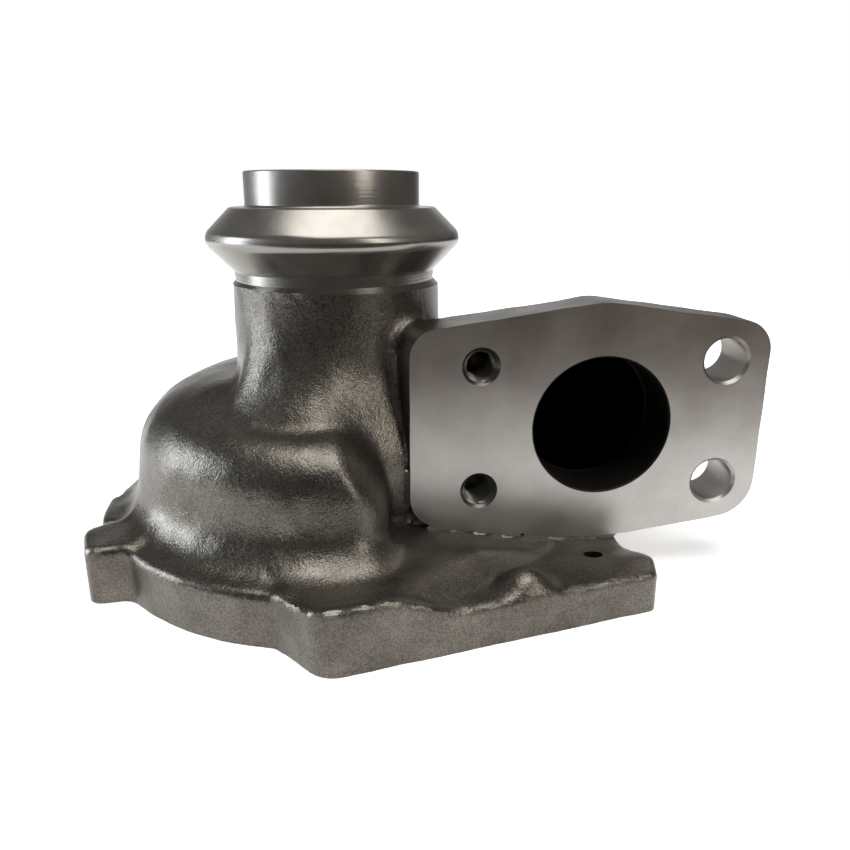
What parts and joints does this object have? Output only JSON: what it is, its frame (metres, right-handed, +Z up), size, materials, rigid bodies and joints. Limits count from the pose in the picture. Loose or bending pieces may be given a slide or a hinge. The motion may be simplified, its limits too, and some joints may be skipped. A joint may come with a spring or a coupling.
{
  "type": "turbocharger turbine housing",
  "caption": "Cast iron turbine housing: a scroll on a round base plate, a rectangular inlet flange at its side, and a neck with a clamp collar on top.",
  "frame": {"origin": "on the turbine axis, in the plane of the base plate's underside", "axes": "+Z up along the turbine axis towards the outlet, -Y out of the inlet flange, +X from the turbine axis towards the inlet duct"},
  "size_m": [0.1728, 0.1456, 0.1006],
  "materials": {
    "cast_iron": "as cast, with machined faces"
  },
  "bodies": {
    "root": {"turbine_housing": "cast_iron"}
  },
  "joints": []
}
